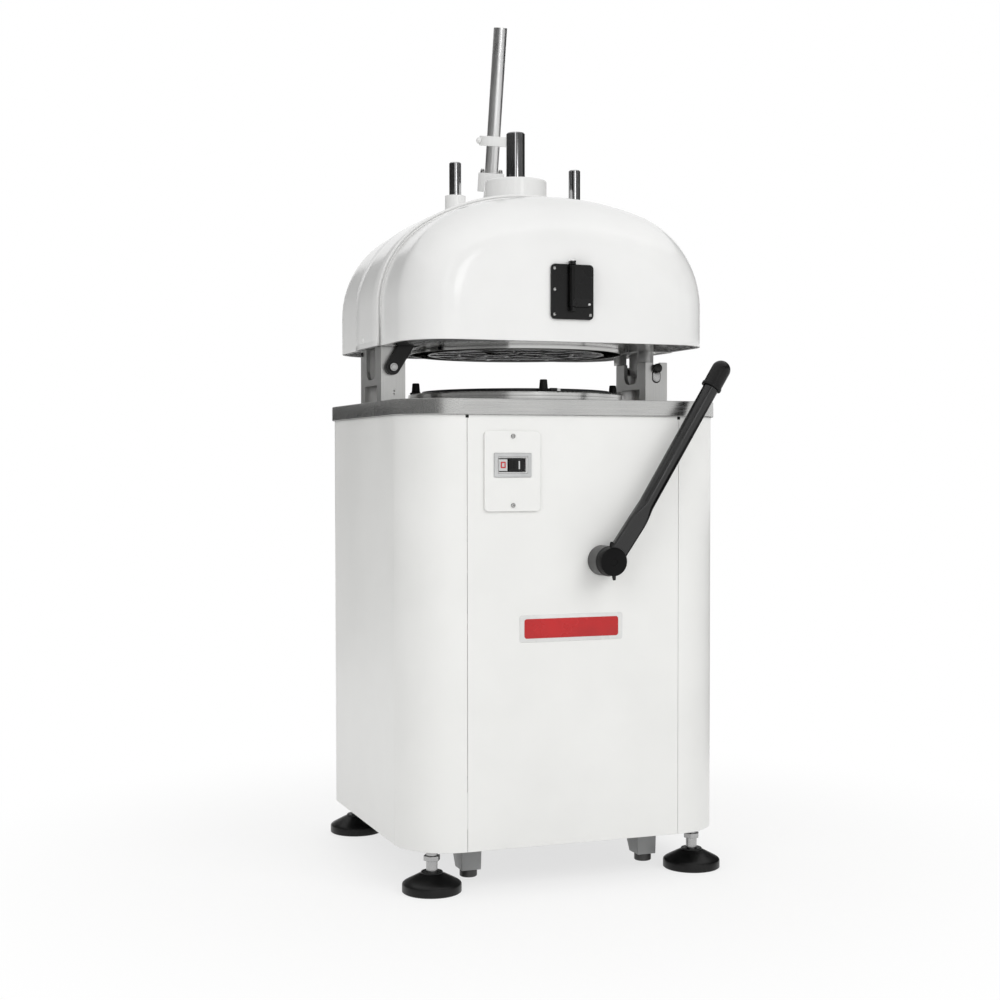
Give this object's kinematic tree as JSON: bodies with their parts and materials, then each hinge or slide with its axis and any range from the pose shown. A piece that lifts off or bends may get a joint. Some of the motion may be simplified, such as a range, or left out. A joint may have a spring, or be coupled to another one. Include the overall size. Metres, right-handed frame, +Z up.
{
  "type": "divider rounder",
  "caption": "Floor-standing bakery divider rounder: sheet cabinet with an orbiting table, domed press head that tilts open, front rounding lever and rear press lever.",
  "frame": {"origin": "middle of the overall plan at floor level", "axes": "+Z up, the switch and rounding lever face -Y, +X is to the right seen from the front"},
  "size_m": [0.65, 0.6882, 1.6835],
  "materials": {
    "frame_paint": "satin",
    "white_paint": "gloss",
    "white_casting": "gloss",
    "stainless": "brushed",
    "steel": "satin",
    "dark_steel": "satin",
    "hard_chrome": "polished",
    "black_plastic": "satin",
    "grey_plastic": "satin",
    "black_paint": "satin",
    "grey_paint": "satin",
    "motor_paint": "satin",
    "iron": "rough",
    "belt_rubber": "matte",
    "peg_rubber": "matte",
    "cast_aluminium": "satin",
    "mould_plastic": "satin"
  },
  "bodies": {
    "base": {"base_frame": "frame_paint", "front_panel": "white_paint", "front_corners": "white_paint", "left_side_panel": "white_paint", "right_side_panel": "white_paint", "rear_panel": "white_paint", "rear_corners": "white_paint", "table_top": "stainless", "left_post": "steel", "right_post": "steel", "foot_pads": "black_plastic", "foot_stems": "steel", "base_lugs": "grey_paint", "switch_plate": "white_paint", "switch_body": "grey_plastic", "lever_bearing": "grey_paint", "drive_plate": "grey_paint", "main_bearing": "iron", "motor": "motor_paint", "drive_belt": "belt_rubber"},
    "rounding_lever": {"lever_shaft": "steel", "lever_hub": "black_paint", "lever_tube": "black_paint", "lever_grip": "black_plastic"},
    "tension_arm": {"idler_arm": "grey_paint"},
    "tension_roller": {"idler_roller": "steel"},
    "motor_rotor": {"motor_pulley": "iron"},
    "crank": {"main_shaft": "steel", "main_pulley": "iron"},
    "table": {"table_carrier": "cast_aluminium", "table_cover": "stainless", "plate_pegs": "peg_rubber"},
    "plate": {"moulding_plate": "mould_plastic"},
    "guide_crank_a": {"idler_crank_a": "steel"},
    "guide_crank_b": {"idler_crank_b": "steel"},
    "guide_crank_c": {"idler_crank_c": "steel"},
    "stop_key": {"stop_button": "grey_plastic"},
    "start_key": {"start_button": "black_plastic"},
    "head": {"yoke": "white_casting", "front_shell": "white_casting", "rear_shell": "white_casting", "center_boss": "white_casting", "guide_bosses": "white_casting", "guard_ring": "stainless", "hinge_pin": "dark_steel", "rocker_shaft": "steel", "latch_plate": "black_paint"},
    "flap": {"latch_flap": "black_paint"},
    "press_lever": {"press_rocker": "dark_steel", "lever_socket": "white_casting", "press_tube": "hard_chrome", "tube_collar": "white_casting"},
    "column": {"center_column": "hard_chrome", "crosshead": "dark_steel", "press_segments": "cast_aluminium"},
    "cutter": {"guide_columns": "hard_chrome", "confining_ring": "cast_aluminium", "knife_star": "stainless"},
    "arm": {"hold_arm": "black_paint"}
  },
  "joints": [
    {"name": "lever_turn", "type": "hinge", "parent": "base", "child": "rounding_lever", "pos_m": [0.053, -0.31865, 0.604], "axis": [0, 1, 0], "range_deg": [-45, 0]},
    {"name": "tension_swing", "type": "hinge", "parent": "base", "child": "tension_arm", "pos_m": [-0.1255, 0.21585, 0.66], "axis": [0, 0, 1], "range_deg": [-12, 0]},
    {"name": "tension_roll", "type": "hinge", "parent": "tension_arm", "child": "tension_roller", "pos_m": [-0.05646, 0.2043, 0.66], "axis": [0, 0, 1], "continuous": true},
    {"name": "crank_spin", "type": "hinge", "parent": "base", "child": "crank", "pos_m": [0, 0.03535, 0.78], "axis": [0, 0, 1], "continuous": true},
    {"name": "rotor_spin", "type": "hinge", "parent": "base", "child": "motor_rotor", "pos_m": [-0.15, 0.14735, 0.66], "axis": [0, 0, 1], "continuous": true},
    {"name": "table_orbit", "type": "hinge", "parent": "crank", "child": "table", "pos_m": [0, 0.02735, 0.91], "axis": [0, 0, 1], "continuous": true},
    {"name": "guide_spin_a", "type": "hinge", "parent": "base", "child": "guide_crank_a", "pos_m": [0, 0.16535, 0.86], "axis": [0, 0, 1], "continuous": true},
    {"name": "guide_spin_b", "type": "hinge", "parent": "base", "child": "guide_crank_b", "pos_m": [-0.11258, -0.02965, 0.86], "axis": [0, 0, 1], "continuous": true},
    {"name": "guide_spin_c", "type": "hinge", "parent": "base", "child": "guide_crank_c", "pos_m": [0.11258, -0.02965, 0.86], "axis": [0, 0, 1], "continuous": true},
    {"name": "plate_lift", "type": "slide", "parent": "table", "child": "plate", "axis": [0, 0, 1], "range_m": [0, 0.05]},
    {"name": "stop_press", "type": "slide", "parent": "base", "child": "stop_key", "axis": [0, 1, 0], "range_m": [0, 0.003], "stiffness_N_per_m": 400},
    {"name": "start_press", "type": "slide", "parent": "base", "child": "start_key", "axis": [0, 1, 0], "range_m": [0, 0.003], "stiffness_N_per_m": 400},
    {"name": "head_tilt", "type": "hinge", "parent": "base", "child": "head", "pos_m": [0.2795, 0.02735, 0.978], "axis": [0, 1, 0], "range_deg": [0, 75]},
    {"name": "flap_open", "type": "hinge", "parent": "head", "child": "flap", "pos_m": [0.001, -0.26705, 1.11], "axis": [0, 0, -1], "range_deg": [0, 90]},
    {"name": "press_pull", "type": "hinge", "parent": "head", "child": "press_lever", "pos_m": [0, 0.20185, 1.23], "axis": [1, 0, 0], "range_deg": [0, 23.77], "stiffness_Nm_per_rad": 80, "springref_deg": -68.75},
    {"name": "column_slide", "type": "slide", "parent": "head", "child": "column", "axis": [0, 0, -1], "range_m": [0, 0.0701]},
    {"name": "cutter_slide", "type": "slide", "parent": "head", "child": "cutter", "axis": [0, 0, -1], "range_m": [0, 0.0738]},
    {"name": "arm_swing", "type": "hinge", "parent": "base", "child": "arm", "pos_m": [-0.283, -0.05105, 0.969], "axis": [0, 1, 0], "range_deg": [0, 60]}
  ],
  "couplings": [
    {"joint": "tension_swing", "follows": "lever_turn", "ratio": 0.2556},
    {"joint": "rotor_spin", "follows": "crank_spin", "ratio": 3.3496},
    {"joint": "table_orbit", "follows": "crank_spin", "ratio": -1},
    {"joint": "guide_spin_a", "follows": "crank_spin", "ratio": 1},
    {"joint": "guide_spin_b", "follows": "crank_spin", "ratio": 1},
    {"joint": "guide_spin_c", "follows": "crank_spin", "ratio": 1},
    {"joint": "column_slide", "follows": "press_pull", "m_per_rad": 0.16875},
    {"joint": "cutter_slide", "follows": "press_pull", "m_per_rad": 0.1776}
  ]
}
